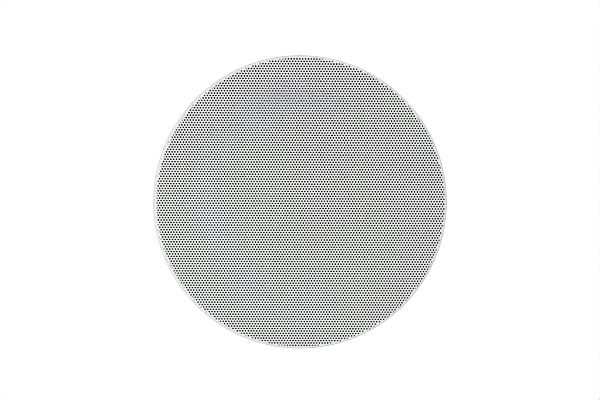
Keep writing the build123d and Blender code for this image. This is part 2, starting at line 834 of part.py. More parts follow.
# Tweeter capsule: a turned cup with a recess for the dome, and a trunnion on each side
capsule_nose = tilt_height - capsule_front
dome_seat = capsule_nose + dome_recess
with BuildPart() as tweeter_capsule:
    revolve(
        turned(
            (0, dome_seat + dome_wall),
            (dome_radius + dome_rim, dome_seat + dome_wall),
            (dome_radius + dome_rim, capsule_nose),
            (capsule_radius, capsule_nose),
            (capsule_radius, tilt_height + capsule_rear - capsule_bevel),
            (capsule_radius - capsule_bevel, tilt_height + capsule_rear),
            (0, tilt_height + capsule_rear),
        ),
        axis=Axis.Z,
    )
    for side in (-1, 1):
        with BuildSketch(Plane.YZ.offset(side * (capsule_radius - trunnion_radius))):
            with Locations((0, tilt_height)):
                Circle(trunnion_radius)
        extrude(amount=side * (carrier_outer - capsule_radius + trunnion_radius))
tweeter_capsule.part.label = "tweeter_capsule"
export_step(tweeter_capsule.part, "parts/tweeter_capsule.step")

# Soft dome in the recess
with BuildPart() as tweeter_dome:
    revolve(shallow_dome(dome_radius, dome_seat, dome_rise, dome_wall), axis=Axis.Z)
tweeter_dome.part.label = "tweeter_dome"
export_step(tweeter_dome.part, "parts/tweeter_dome.step")

# Tweeter magnet cup on the back of the capsule
with BuildPart() as tweeter_motor:
    with BuildSketch(Plane.XY.offset(tilt_height + capsule_rear)):
        Circle(tweeter_motor_radius)
    extrude(amount=tweeter_motor_height)
tweeter_motor.part.label = "tweeter_motor"
export_step(tweeter_motor.part, "parts/tweeter_motor.step")

# Level switch: a body set in the bridge arm, and the knob that slides in its slot
with BuildPart() as level_switch_body:
    with BuildSketch(Plane.XY.offset(switch_front)):
        with Locations((-switch_place, 0)):
            Rectangle(switch_length, switch_width)
    extrude(amount=switch_height)
    with BuildSketch(Plane.XY.offset(switch_front)):
        with Locations((-switch_place, 0)):
            Rectangle(switch_slot_length, switch_slot_width)
    extrude(amount=switch_slot_depth, mode=Mode.SUBTRACT)
level_switch_body.part.label = "level_switch_body"
export_step(level_switch_body.part, "parts/level_switch_body.step")

with BuildPart() as level_switch_knob:
    with BuildSketch(Plane.XY.offset(switch_front - switch_knob_proud)):
        with Locations((-switch_place, 0)):
            Rectangle(switch_knob_length, switch_slot_width - 2 * switch_play)
    extrude(amount=switch_knob_proud + switch_slot_depth - switch_play)
level_switch_knob.part.label = "level_switch_knob"
export_step(level_switch_knob.part, "parts/level_switch_knob.step")


# Crossover bracket: a strip folded from a foot on the ledge to an upright above the woofer's skirt
jog = ledge_rear + bracket_jog_height
upright = bracket_riser - bracket_jog_length
board_rear = upright + bracket_sheet + spacer_height
board_face = board_rear + board_thickness
board_bottom = jog + bracket_sheet + board_foot_gap
board_top = board_bottom + board_height
upper_screw_z = board_top - board_edge
bracket_top = upper_screw_z + spacer_radius
board_hole_y = bracket_width / 2 - spacer_radius
board_hole_points = [
    (side * board_hole_y, level)
    for side in (-1, 1)
    for level in (board_bottom + board_edge, upper_screw_z)
]
bracket_fold = fold_radius + bracket_sheet
with BuildPart() as crossover_bracket:
    extrude(
        folded(
            bracket_sheet,
            [bracket_fold, fold_radius, bracket_fold],
            (bracket_foot_end, ledge_rear),
            (bracket_riser, ledge_rear),
            (bracket_riser, jog),
            (upright, jog),
            (upright, bracket_top),
        ),
        amount=bracket_width / 2,
        both=True,
    )
    with BuildSketch(Plane.YZ.offset(upright + bracket_sheet)):
        with Locations(*board_hole_points):
            RegularPolygon(spacer_radius, tapping_sides)
    extrude(amount=spacer_height)
    with BuildSketch(Plane.YZ.offset(upright)):
        with Locations(*board_hole_points):
            RegularPolygon(tapping_hole, tapping_sides)
    extrude(amount=bracket_sheet + spacer_height, mode=Mode.SUBTRACT)
    with BuildSketch(Plane.XY.offset(ledge_rear)):
        with Locations(*bracket_screw_points):
            RegularPolygon(tapping_hole, tapping_sides)
    extrude(amount=bracket_sheet, mode=Mode.SUBTRACT)
crossover_bracket.part.label = "crossover_bracket"
export_step(crossover_bracket.part, "parts/crossover_bracket.step")

# Screws that hold the bracket and the safety tab to the ledge
with BuildPart() as bracket_screws:
    for points, sheet in ((bracket_screw_points, bracket_sheet), ([tether_screw_point], tether_sheet)):
        with BuildSketch(Plane.XY.offset(ledge_rear + sheet)):
            with Locations(*points):
                RegularPolygon(tapping_head_radius, tapping_sides)
        extrude(amount=tapping_head_height)
        with BuildSketch(Plane.XY.offset(ledge_rear + sheet)):
            with Locations(*points):
                RegularPolygon(tapping_radius, tapping_sides)
        extrude(amount=-sheet - ledge_thickness)
bracket_screws.part.label = "bracket_screws"
export_step(bracket_screws.part, "parts/bracket_screws.step")

# Circuit board on the bracket's spacers
with BuildPart() as crossover_board:
    with BuildSketch(Plane.YZ.offset(board_rear)):
        with Locations((0, board_bottom)):
            Rectangle(board_width, board_height, align=(Align.CENTER, Align.MIN))
        with Locations(*board_hole_points):
            RegularPolygon(tapping_hole, tapping_sides, mode=Mode.SUBTRACT)
    extrude(amount=board_thickness)
crossover_board.part.label = "crossover_board"
export_step(crossover_board.part, "parts/crossover_board.step")

# Screws that hold the board to the spacers
with BuildPart() as board_screws:
    with BuildSketch(Plane.YZ.offset(board_face)):
        with Locations(*board_hole_points):
            RegularPolygon(tapping_head_radius, tapping_sides)
    extrude(amount=tapping_head_height)
    with BuildSketch(Plane.YZ.offset(board_face)):
        with Locations(*board_hole_points):
            RegularPolygon(tapping_radius, tapping_sides)
    extrude(amount=-board_thickness - spacer_height)
board_screws.part.label = "board_screws"
export_step(board_screws.part, "parts/board_screws.step")

# Inductor: a bobbin with square flanges standing on the board, and its copper winding
inductor_y = -board_width / 2 + component_gap + inductor_radius
component_top = upper_screw_z - tapping_head_radius - component_gap
inductor_z = component_top - inductor_radius
with BuildPart() as inductor_bobbin:
    for flange_x in (board_face, board_face + inductor_height - inductor_flange):
        with BuildSketch(Plane.YZ.offset(flange_x)):
            with Locations((inductor_y, inductor_z)):
                Rectangle(2 * inductor_radius, 2 * inductor_radius)
        extrude(amount=inductor_flange)
    with BuildSketch(Plane.YZ.offset(board_face + inductor_flange)):
        with Locations((inductor_y, inductor_z)):
            Circle(inductor_core_radius)
    extrude(amount=inductor_height - 2 * inductor_flange)
inductor_bobbin.part.label = "inductor_bobbin"
export_step(inductor_bobbin.part, "parts/inductor_bobbin.step")

with BuildPart() as inductor_winding:
    with BuildSketch(Plane.YZ.offset(board_face + inductor_flange)):
        with Locations((inductor_y, inductor_z)):
            Circle(inductor_radius - inductor_rim)
            Circle(inductor_core_radius, mode=Mode.SUBTRACT)
    extrude(amount=inductor_height - 2 * inductor_flange)
inductor_winding.part.label = "inductor_winding"
export_step(inductor_winding.part, "parts/inductor_winding.step")

# Film capacitors lying on the board
large_capacitor_z = board_bottom + component_gap + large_capacitor_radius
small_capacitor_z = component_top + component_gap + small_capacitor_radius
with BuildPart() as large_capacitor:
    with BuildSketch(Plane.XZ.offset(-large_capacitor_shift)):
        with Locations((board_face + large_capacitor_radius, large_capacitor_z)):
            Circle(large_capacitor_radius)
    extrude(amount=large_capacitor_length / 2, both=True)
large_capacitor.part.label = "large_capacitor"
export_step(large_capacitor.part, "parts/large_capacitor.step")

with BuildPart() as small_capacitor:
    with BuildSketch(Plane.XZ):
        with Locations((board_face + small_capacitor_radius, small_capacitor_z)):
            Circle(small_capacitor_radius)
    extrude(amount=small_capacitor_length / 2, both=True)
small_capacitor.part.label = "small_capacitor"
export_step(small_capacitor.part, "parts/small_capacitor.step")

# Ceramic resistor standing beside the lower screw
resistor_y = board_width / 2 - component_gap - resistor_size / 2
with BuildPart() as resistor:
    with BuildSketch(Plane.YZ.offset(board_face)):
        with Locations((resistor_y, board_bottom + component_gap)):
            Rectangle(resistor_size, resistor_length, align=(Align.CENTER, Align.MIN))
    extrude(amount=resistor_size)
resistor.part.label = "resistor"
export_step(resistor.part, "parts/resistor.step")

# Terminal block: a wire hole and a sprung button for each pole
terminal_y = inductor_y + inductor_radius + component_gap + terminal_width / 2
terminal_z = component_top - terminal_height / 2
terminal_face = board_face + terminal_depth
button_z = terminal_z + button_rise
wire_z = terminal_z - wire_hole_drop
pole_places = [terminal_y - terminal_pitch / 2, terminal_y + terminal_pitch / 2]
with BuildPart() as terminal_block:
    with BuildSketch(Plane.YZ.offset(board_face)):
        with Locations((terminal_y, terminal_z)):
            Rectangle(terminal_width, terminal_height)
    extrude(amount=terminal_depth)
    chamfer(terminal_block.faces().sort_by(Axis.X)[-1].edges(), terminal_edge)
    with BuildSketch(Plane.YZ.offset(terminal_face)):
        with Locations(*[(place, button_z) for place in pole_places]):
            Rectangle(button_width + 2 * button_play, button_height + 2 * button_play)
    extrude(amount=-button_pocket, mode=Mode.SUBTRACT)
    with BuildSketch(Plane.YZ.offset(terminal_face)):
        with Locations(*[(place, wire_z) for place in pole_places]):
            Circle(wire_hole_radius)
    extrude(amount=-wire_hole_depth, mode=Mode.SUBTRACT)
terminal_block.part.label = "terminal_block"
export_step(terminal_block.part, "parts/terminal_block.step")

# Push buttons that open the spring contacts
button_rear = terminal_face - button_pocket + button_travel + button_play
for place, colour in zip(pole_places, ("black", "red")):
    with BuildPart() as terminal_button:
        with BuildSketch(Plane.YZ.offset(button_rear)):
            with Locations((place, button_z)):
                Rectangle(button_width, button_height)
        extrude(amount=button_length)
    terminal_button.part.label = f"terminal_button_{colour}"
    export_step(terminal_button.part, f"parts/terminal_button_{colour}.step")
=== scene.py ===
import json
from math import cos, pi, radians, sin, sqrt

import bmesh
import bpy
import numpy as np
from mathutils import Matrix, Vector
from mathutils.geometry import delaunay_2d_cdt


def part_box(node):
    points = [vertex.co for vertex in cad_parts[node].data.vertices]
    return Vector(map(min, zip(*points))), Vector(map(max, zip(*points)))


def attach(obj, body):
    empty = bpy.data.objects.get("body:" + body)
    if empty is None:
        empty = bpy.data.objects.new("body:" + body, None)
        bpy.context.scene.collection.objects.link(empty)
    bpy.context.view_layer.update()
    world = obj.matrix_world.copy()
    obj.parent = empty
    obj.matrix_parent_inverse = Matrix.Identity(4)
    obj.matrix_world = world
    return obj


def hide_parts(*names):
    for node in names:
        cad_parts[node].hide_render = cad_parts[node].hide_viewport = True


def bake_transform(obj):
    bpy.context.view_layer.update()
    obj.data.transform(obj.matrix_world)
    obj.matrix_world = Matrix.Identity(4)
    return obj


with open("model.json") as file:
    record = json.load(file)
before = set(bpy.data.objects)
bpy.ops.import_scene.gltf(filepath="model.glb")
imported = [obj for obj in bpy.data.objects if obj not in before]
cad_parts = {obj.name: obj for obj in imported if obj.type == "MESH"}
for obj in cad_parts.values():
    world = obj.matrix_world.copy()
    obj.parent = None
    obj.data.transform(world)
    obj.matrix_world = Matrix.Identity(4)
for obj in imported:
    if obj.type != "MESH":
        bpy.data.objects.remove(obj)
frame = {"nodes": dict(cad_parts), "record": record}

# Looks for a round in-ceiling loudspeaker. Lengths are in millimetres where no line says otherwise, in the
# frame of the solids: the origin is the centre of the ceiling plane, and the grille faces down, along -Z.
MM = 0.001
scene = bpy.context.scene
nodes = frame["nodes"]
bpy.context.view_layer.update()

# Points this near to each other, in metres, are welded, and edges this sharp stay sharp
WELD = 1e-6
SHARP_EDGE = radians(35)

# Grille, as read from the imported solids
grille_low, grille_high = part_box("grille")
GRILLE_RADIUS = grille_high.x / MM
GRILLE_FACE = grille_low.z / MM
GRILLE_TOP = grille_high.z / MM

# Grille sheet and its bent rim, with the turns in degrees at which points go round the bend
SHEET = 0.9
BEND_RADIUS = 2.6
BEND_TURNS = (24, 40, 56, 72, 90)
FLAT_RADIUS = GRILLE_RADIUS - BEND_RADIUS
RIM_STEPS = 360

# Holes of the sheet, in rows a little closer and a little turned from a true 60 degree stagger. The reach is
# measured on the flat blank, before its rim was bent.
PITCH = 2.4933
ROW_SHARE = 0.9976
ROW_TURN = radians(0.2611)
HOLE_RADIUS = 0.864
HOLE_SIDES = 12
HOLE_NEAR_CENTRE = (-0.8551, -2.1371)
HOLE_REACH = 128.5

# Cells, each the six-sided stretch of sheet round a hole. Whole ones stay clear of the bend and make up the
# bands of the field. The rim takes the rest, and reaches in less than its depth.
CELL_REACH = PITCH / sqrt(3)
FIELD_BANDS = 4
FIELD_MARGIN = 0.2
RIM_DEPTH = 3 * PITCH

# Digits of a millimetre to which rows and shared corners are rounded, so that equal ones match, and how near
# to each other points of the flat blank count as one
ROW_DIGITS = 2
CORNER_DIGITS = 3
BLANK_WELD = 1e-6

# Flat plan of the sheet: the width of a hole's wall, laid into its hole, and the margin round the plan
WALL_STRIP = 0.3
PLAN_MARGIN = 1

# Cloth behind the holes, cut a little oval and glued on a little off centre
SCRIM_HALF = (127.7, 128.3)
SCRIM_SHIFT = 0.6
SCRIM_GAP = 0.02
SCRIM_RINGS = 12
SCRIM_STEPS = 180

# Foam gasket, with rounded edges and a joint where the ends of the strip meet
GASKET_EDGE = 0.35
GASKET_EDGE_STEPS = 4
GASKET_JOINT = 0.6
GASKET_JOINT_ANGLE = radians(203)
GASKET_STEPS = 240

# Rubber surround, and cloth spider with waves up to its flat glued edge
RUBBER = 1.0
ROLL_STEPS = 14
SPIDER_WALL = 0.7
SPIDER_WAVES = 3
SPIDER_FLAT = 43.0
SPIDER_STEPS = 60
TURNED_STEPS = 160

# Pan head screws: the radius and height of the head, which loses a share of its height towards its edge, the
# radius of the shaft, the lead of the thread, and the length, width and depth of the cross recess
TAPPING = {"head": 3.0, "height": 2.0, "shaft": 1.6, "lead": 1.1, "slot": (3.6, 0.95, 1.1)}
CLAMP = {"head": 4.4, "height": 2.8, "shaft": 2.5, "lead": 1.25, "slot": (5.4, 1.3, 1.6)}
HEAD_LOSS = 0.5
HEAD_POWER = 6
HEAD_RINGS = 18
THREAD_ROWS = 8
THREAD_DEPTH = 0.35
RECESS_BLUR = 0.16
SCREW_STEPS = 40

# Bottom, top and radius of the collar that keeps a clamp's screw in the ledge
CLAMP_COLLAR = (4.1, 5.3, 3.8)

# Crossover parts
COIL_WIRE = 0.4
COIL_STEPS = 48
WIRE_SIDES = 8
CAN_EDGE = 0.6
CAN_EDGE_STEPS = 5
CAN_RECESS = 0.5
CAN_STEPS = 64
LEAD_WIRE = 0.35
LEAD_BEND = 0.8
LEAD_BEND_STEPS = 7
BLOCK_EDGE = 0.5
BLOCK_EDGE_STEPS = 3

# Finishes: the detail of a noise, the scale at which a wave repeats after one unit, the share of a pattern in
# a colour, the size of the grain in its gloss, and how far the gloss of grained and patterned finishes varies
NOISE_DETAIL = 3.0
WAVE_UNIT = 2 * pi / 20
PATTERN_SHARE = 0.7
PATTERN_GRAIN = 0.6
GRAINED_GLOSS = 0.15
PATTERNED_GLOSS = 0.12

# Floor: its depth below the grille, its colour, and in metres half its width and where it fades into white
FLOOR_GAP = 0.3
FLOOR_COLOUR = (0.84, 0.84, 0.83, 1)
FLOOR_HALF = 4.0
FLOOR_FADE = (0.3, 1.1)

# World: its light from below and above, and the heights of a direction between which it grows
WHITE = (1, 1, 1, 1)
WORLD_LIGHT = (0.05, 0.42)
WORLD_HEIGHTS = (-0.08, 0.35)

# Lamps: place and size in metres, power in watts, and whether shiny parts mirror them
LAMPS = {
    "key": ((-0.4, -0.05, -1.3), 0.6, 8.5, True),
    "fill": ((0.2, 0.0, -2.2), 0.8, 23.5, True),
    "rear_key": ((1.0, -1.3, 1.6), 2.2, 28, False),
    "rear_fill": ((-1.4, 0.2, 1.7), 2.2, 23, True),
}

# Camera: its distance and furthest view in metres, its sensor and lens, how far it stands off the axis
# towards +X and +Y, and the point of the grille's face that it looks at
CAMERA_DISTANCE = 0.715
CAMERA_END = 20
CAMERA_SENSOR = 36
CAMERA_LENS = 48.447
CAMERA_OFF_AXIS = (radians(-0.431), radians(-3.302))
CAMERA_TARGET = (-0.126, -3.157)

# Width in pixels of the render's filter
FILTER_WIDTH = 0.8


# Shapes, each a pair of points in millimetres and faces

def joined(*shapes):
    """Several shapes as one."""
    points = np.concatenate([shape[0] for shape in shapes])
    faces = []
    before = 0
    for shape in shapes:
        faces += [[corner + before for corner in face] for face in shape[1]]
        before += len(shape[0])
    return points, faces


def placed(shape, origin, axis):
    """A shape made about Z, stood on a point with its Z along an axis."""
    turn = np.array(Vector((0, 0, 1)).rotation_difference(Vector(axis)).to_matrix())
    return shape[0] @ turn.T + np.asarray(origin), shape[1]


def grid_faces(rows, columns, rows_close):
    """Faces of a grid of points whose columns run round, and whose rows may too."""
    row = np.arange(rows if rows_close else rows - 1)[:, None]
    column = np.arange(columns)[None]
    next_row = (row + 1) % rows
    next_column = (column + 1) % columns
    corners = [row * columns + column, row * columns + next_column,
               next_row * columns + next_column, next_row * columns + column]
    return np.stack(np.broadcast_arrays(*corners), -1).reshape(-1, 4).tolist()


def grid_shape(points, rows_close):
    """A shape from rows of points, closed at both ends where its rows don't run round."""
    rows, columns = points.shape[:2]
    faces = grid_faces(rows, columns, rows_close)
    if not rows_close:
        faces += [list(range(columns)), list(range((rows - 1) * columns, rows * columns))]
    return points.reshape(-1, 3), faces


def turns_round(count):
    """Angles of a whole turn in even steps."""
    return 2 * pi * np.arange(count) / count


def spun(outline, steps, first=0.0, sweep=2 * pi):
    """A closed outline of (radius, height) points turned about Z, all the way round or part of it."""
    whole = sweep == 2 * pi
    radius, height = np.asarray(outline, float).T
    turns = first + sweep * np.arange(steps + (not whole)) / steps
    level = np.broadcast_to(height, (len(turns), len(height)))
    points = np.stack([np.outer(np.cos(turns), radius), np.outer(np.sin(turns), radius), level], -1)
    return grid_shape(points, whole)


def swept(path, radius):
    """A round wire along a line of points."""
    path = np.asarray(path, float)
    along = np.gradient(path, axis=0)
    along /= np.linalg.norm(along, axis=1)[:, None]
    side = np.roll(along[0], 1)
    turns = turns_round(WIRE_SIDES)
    rows = []
    for point, ahead in zip(path, along):
        side = side - ahead * (side @ ahead)
        side /= np.linalg.norm(side)
        other_side = np.cross(ahead, side)
        rows.append(point + radius * (np.outer(np.cos(turns), side) + np.outer(np.sin(turns), other_side)))
    return grid_shape(np.array(rows), False)


def arc(centre, radius, first, last, steps):
    """Points of an arc, between two angles in degrees."""
    turns = np.radians(np.linspace(first, last, steps))
    return np.column_stack([centre[0] + radius * np.cos(turns), centre[1] + radius * np.sin(turns)])


def soft_bar(along, across, length, width):
    """One inside a bar and zero outside it, with soft edges."""
    inside = [np.clip((size / 2 - np.abs(place)) / RECESS_BLUR + 0.5, 0, 1)
              for place, size in ((along, length), (across, width))]
    return inside[0] * inside[1]


def screw(head, height, shaft, lead, slot, length):
    """A screw down from zero with a pan head above it, a cross recess and a cut thread."""
    slot_length, slot_width, slot_depth = slot
    share = np.linspace(0, 1, HEAD_RINGS)
    drops = np.arange(0, length, lead / THREAD_ROWS)
    radius = np.concatenate([head * share, [head], np.full(len(drops), shaft), [shaft / 2]])[:, None]
    level = np.concatenate([height * (1 - HEAD_LOSS * share**HEAD_POWER), [0], -drops, [-length]])[:, None]
    turns = turns_round(SCREW_STEPS)[None]
    groove = 0.5 + 0.5 * np.cos(2 * pi * level / lead - turns)
    radius = radius - THREAD_DEPTH * groove * ((level < 0) & (radius == shaft))
    x, y = radius * np.cos(turns), radius * np.sin(turns)
    cross = np.maximum(soft_bar(x, y, slot_length, slot_width), soft_bar(y, x, slot_length, slot_width))
    top = np.arange(len(level))[:, None] < HEAD_RINGS
    z = level - slot_depth * cross * top
    return grid_shape(np.stack(np.broadcast_arrays(x, y, z), -1), False)


def block(low, high, edge):
    """A box with rounded edges."""
    mesh = bmesh.new()
    size = np.asarray(high) - low
    place = Matrix.Translation(low + size / 2) @ Matrix.Diagonal((*size, 1))
    bmesh.ops.create_cube(mesh, size=1, matrix=place)
    bmesh.ops.bevel(mesh, geom=mesh.edges[:], offset=edge, segments=BLOCK_EDGE_STEPS, profile=0.5,
                    affect="EDGES")
    mesh.verts.index_update()
    shape = np.array([v.co for v in mesh.verts]), [[v.index for v in face.verts] for face in mesh.faces]
    mesh.free()
    return shape


# Sizes of nodes, in millimetres

def islands(node):
    """The lowest and highest corners of each separate solid of a node."""
    mesh = bmesh.new()
    mesh.from_mesh(nodes[node].data)
    bmesh.ops.remove_doubles(mesh, verts=mesh.verts, dist=WELD)
    left = set(mesh.verts)
    corners = []
    while left:
        group = [left.pop()]
        for vertex in group:
            for edge in vertex.link_edges:
                other = edge.other_vert(vertex)
                if other in left:
                    left.remove(other)
                    group.append(other)
        places = np.array([vertex.co for vertex in group]) / MM
        corners.append((places.min(0), places.max(0)))
    mesh.free()
    return corners


def corners_of(node):
    """A node's lowest and highest corners."""
    return [np.array(corner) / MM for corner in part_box(node)]


def turned_section(node):
    """Radius and height of every point of a turned node."""
    places = np.array([vertex.co for vertex in nodes[node].data.vertices]) / MM
    return np.hypot(places[:, 0], places[:, 1]), places[:, 2]


# Pieces

def dressed(name, mesh, slot, body=None, node=None):
    """A new object with a finish, which may ride on a body of the frame and stand for a node."""
    mesh.materials.append(finishes[slot])
    mesh.polygons.foreach_set("use_smooth", np.ones(len(mesh.polygons), bool))
    mesh.set_sharp_from_angle(angle=SHARP_EDGE)
    piece = bpy.data.objects.new(name, mesh)
    scene.collection.objects.link(piece)
    if body:
        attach(piece, body)
    if node:
        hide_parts(node)
    return piece


def as_piece(name, shape, slot, body=None, node=None):
    """A shape made into an object, with its points welded and its faces turned outwards."""
    mesh = bpy.data.meshes.new(name)
    mesh.from_pydata(shape[0] * MM, [], shape[1])
    tidy = bmesh.new()
    tidy.from_mesh(mesh)
    bmesh.ops.remove_doubles(tidy, verts=tidy.verts, dist=WELD)
    bmesh.ops.recalc_face_normals(tidy, faces=tidy.faces)
    tidy.to_mesh(mesh)
    tidy.free()
    return dressed(name, mesh, slot, body, node)


# Grille

def on_rows(along, across):
    """Places in the plan from places along and across the rows of holes."""
    turn = np.array([[cos(ROW_TURN), sin(ROW_TURN)], [-sin(ROW_TURN), cos(ROW_TURN)]])
    return np.stack([along, across], -1) @ turn


corner_turns = pi / 6 + np.arange(6) * pi / 3
side_turns = corner_turns + pi / 6
hole_turns = (np.arange(HOLE_SIDES) + 0.5) * 2 * pi / HOLE_SIDES
hole_side_turns = hole_turns + pi / HOLE_SIDES
cell_corners = CELL_REACH * on_rows(np.cos(corner_turns), ROW_SHARE * np.sin(corner_turns))
hole_corners = HOLE_RADIUS * on_rows(np.cos(hole_turns), np.sin(hole_turns))


def hole_centres():
    """Centres of the sheet's holes, on a stagger of about 60 degrees."""
    along = on_rows(PITCH, 0)
    across = on_rows(PITCH / 2, PITCH * ROW_SHARE * sqrt(3) / 2)
    count = int(2 * GRILLE_RADIUS / PITCH)
    steps = np.arange(-count, count + 1)
    first, second = np.meshgrid(steps, steps, indexing="ij")
    centres = np.array(HOLE_NEAR_CENTRE) + first[..., None] * along + second[..., None] * across
    centres = centres.reshape(-1, 2)
    return centres[np.hypot(centres[:, 0], centres[:, 1]) <= HOLE_REACH]


def round_zip(outer, inner):
    """Triangles that fill the ring between two polygons, each given by its corners' angles in order."""
    triangles = []
    i = j = 0
    while i < len(outer) or j < len(inner):
        next_outer = outer[(i + 1) % len(outer)] + 2 * pi * ((i + 1) // len(outer))
        next_inner = inner[(j + 1) % len(inner)] + 2 * pi * ((j + 1) // len(inner))
        a, b = i % len(outer), j % len(inner)
        if j >= len(inner) or (i < len(outer) and next_outer <= next_inner):
            triangles.append((a, (i + 1) % len(outer), len(outer) + b))
            i += 1
        else:
            triangles.append((a, len(outer) + (j + 1) % len(inner), len(outer) + b))
            j += 1
    return np.array(triangles)


def cells(centres):
    """Points and triangles of the cells round holes, and how many of the points are shared corners."""
    places = np.round((centres[:, None] + cell_corners).reshape(-1, 2), CORNER_DIGITS)
    corners, corner_index = np.unique(places, axis=0, return_inverse=True)
    rims = (centres[:, None] + hole_corners).reshape(-1, 2)
    rim_index = len(corners) + np.arange(len(rims))
    table = np.column_stack([corner_index.reshape(len(centres), -1), rim_index.reshape(len(centres), -1)])
    triangles = table[:, round_zip(corner_turns, hole_turns)].reshape(-1, 3)
    return np.concatenate([corners, rims]), triangles, len(corners)


def open_edges(triangles, count):
    """Directed edges that only one of the triangles has."""
    edges = np.concatenate([triangles[:, [0, 1]], triangles[:, [1, 2]], triangles[:, [2, 0]]])
    key = edges.min(1).astype(np.int64) * count + edges.max(1)
    _, where, times = np.unique(key, return_index=True, return_counts=True)
    return edges[where[times == 1]]


def on_sheet(plan, depth):
    """Places on the pressed sheet, depth behind its front, of points of the flat blank before it was bent."""
    far = np.hypot(plan[:, 0], plan[:, 1])
    turn = np.clip((far - FLAT_RADIUS) / BEND_RADIUS, 0, pi / 2)
    bend = BEND_RADIUS - depth
    radius = np.minimum(far, FLAT_RADIUS) + bend * np.sin(turn)
    height = GRILLE_FACE + depth + bend * (1 - np.cos(turn))
    height += np.maximum(far - FLAT_RADIUS - BEND_RADIUS * pi / 2, 0)
    share = radius / np.maximum(far, BLANK_WELD)
    return np.column_stack([plan[:, 0] * share, plan[:, 1] * share, height])


def flat_plan(plan, triangles, edges):
    """A plan of the front, one of the back beside it, and each wall in its own hole, in a unit square."""
    start, end = plan[edges[:, 0]], plan[edges[:, 1]]
    outward = np.column_stack([end[:, 1] - start[:, 1], start[:, 0] - end[:, 0]])
    outward *= WALL_STRIP / np.hypot(outward[:, 0], outward[:, 1])[:, None]
    walls = np.stack([end + outward, start + outward, start, end], 1).reshape(-1, 2)
    low = plan.min(0) - PLAN_MARGIN
    wide, deep = plan.max(0) + PLAN_MARGIN - low
    front = plan[triangles[:, ::-1].ravel()]
    back = plan[triangles.ravel()] + [0, deep]
    return (np.concatenate([front, back, walls]) - low) / max(wide, 2 * deep)


def sheet_piece(name, plan, triangles):
    """A closed piece of the perforated sheet: front, back, and the walls of its holes and edges."""
    count = len(plan)
    points = np.concatenate([on_sheet(plan, 0), on_sheet(plan, SHEET)])
    edges = open_edges(triangles, count)
    walls = np.column_stack([edges[:, ::-1] + count, edges])
    mesh = bpy.data.meshes.new(name)
    faces = triangles[:, ::-1].tolist() + (triangles + count).tolist() + walls.tolist()
    mesh.from_pydata(points * MM, [], faces)
    layer = mesh.uv_layers.new(name="OFBake")
    layer.data.foreach_set("uv", flat_plan(plan, triangles, edges).astype(np.float32).ravel())
    dressed(name, mesh, "grille_paint", "grille_cap", "grille")


def within(points, centres, normals, reach):
    """Which points lie in a polygon round any of the centres, with its sides a reach away along normals."""
    gaps = points[:, None] - centres[None]
    return ((gaps @ normals.T).max(2) < reach).any(1)


def make_rim(whole, border):
    """The edge of the sheet, from the outline of the whole cells, round the last holes, to the skirt."""
    plan, triangles, shared = cells(whole)
    edges = open_edges(triangles, len(plan))
    edges = edges[(edges < shared).all(1)]
    used = np.unique(edges)
    points = [plan[used]]
    links = [np.searchsorted(used, edges)]
    held = len(used)

    # Every hole, row of points round the bend and edge of the skirt is a closed loop
    circle = np.column_stack([np.cos(turns_round(RIM_STEPS)), np.sin(turns_round(RIM_STEPS))])
    skirt = BEND_RADIUS * pi / 2 + GRILLE_TOP - GRILLE_FACE - BEND_RADIUS
    bends = [BEND_RADIUS * radians(turn) for turn in BEND_TURNS]
    holes = [centre + hole_corners for centre in border]
    rounds = [(FLAT_RADIUS + beyond) * circle for beyond in (*bends, skirt)]
    for loop in holes + rounds:
        ring = np.arange(len(loop))
        points.append(loop)
        links.append(held + np.column_stack([ring, (ring + 1) % len(loop)]))
        held += len(loop)
    found = delaunay_2d_cdt([Vector(p) for p in np.concatenate(points)],
                            np.concatenate(links).tolist(), [], 0, BLANK_WELD)
    plan = np.array([tuple(p) for p in found[0]])
    triangles = np.array(found[2])

    # Triangles in the holes and over the field are left out, and the rest face one way
    middles = plan[triangles].mean(1)
    near = whole[np.hypot(whole[:, 0], whole[:, 1]) > FLAT_RADIUS - RIM_DEPTH - PITCH]
    cell_sides = on_rows(np.cos(side_turns), np.sin(side_turns) / ROW_SHARE)
    hole_sides = on_rows(np.cos(hole_side_turns), np.sin(hole_side_turns))
    in_cell = within(middles, near, cell_sides, PITCH / 2)
    in_hole = within(middles, border, hole_sides, HOLE_RADIUS * cos(pi / HOLE_SIDES))
    in_field = np.hypot(middles[:, 0], middles[:, 1]) < FLAT_RADIUS - RIM_DEPTH
    triangles = triangles[~(in_cell | in_hole | in_field)]
    sides = plan[triangles[:, 1]] - plan[triangles[:, 0]]
    others = plan[triangles[:, 2]] - plan[triangles[:, 0]]
    flip = sides[:, 0] * others[:, 1] - sides[:, 1] * others[:, 0] < 0
    triangles[flip] = triangles[flip][:, ::-1]
    sheet_piece("grille_rim", plan, triangles)


def make_grille():
    """The pressed cap of perforated sheet, as bands of whole cells and a rim with the bend and skirt."""
    centres = hole_centres()
    inside = np.hypot(centres[:, 0], centres[:, 1]) + CELL_REACH < FLAT_RADIUS - FIELD_MARGIN
    whole = centres[inside]
    rows = np.round(whole @ [-sin(ROW_TURN), cos(ROW_TURN)], ROW_DIGITS)
    order = np.argsort(rows, kind="stable")
    whole, rows = whole[order], rows[order]
    cuts = [rows[len(rows) * band // FIELD_BANDS] for band in range(1, FIELD_BANDS)]
    band_of = np.searchsorted(cuts, rows, side="right")
    for band in range(FIELD_BANDS):
        plan, triangles, _ = cells(whole[band_of == band])
        sheet_piece(f"grille_field_{band + 1}", plan, triangles)
    make_rim(whole, centres[~inside])


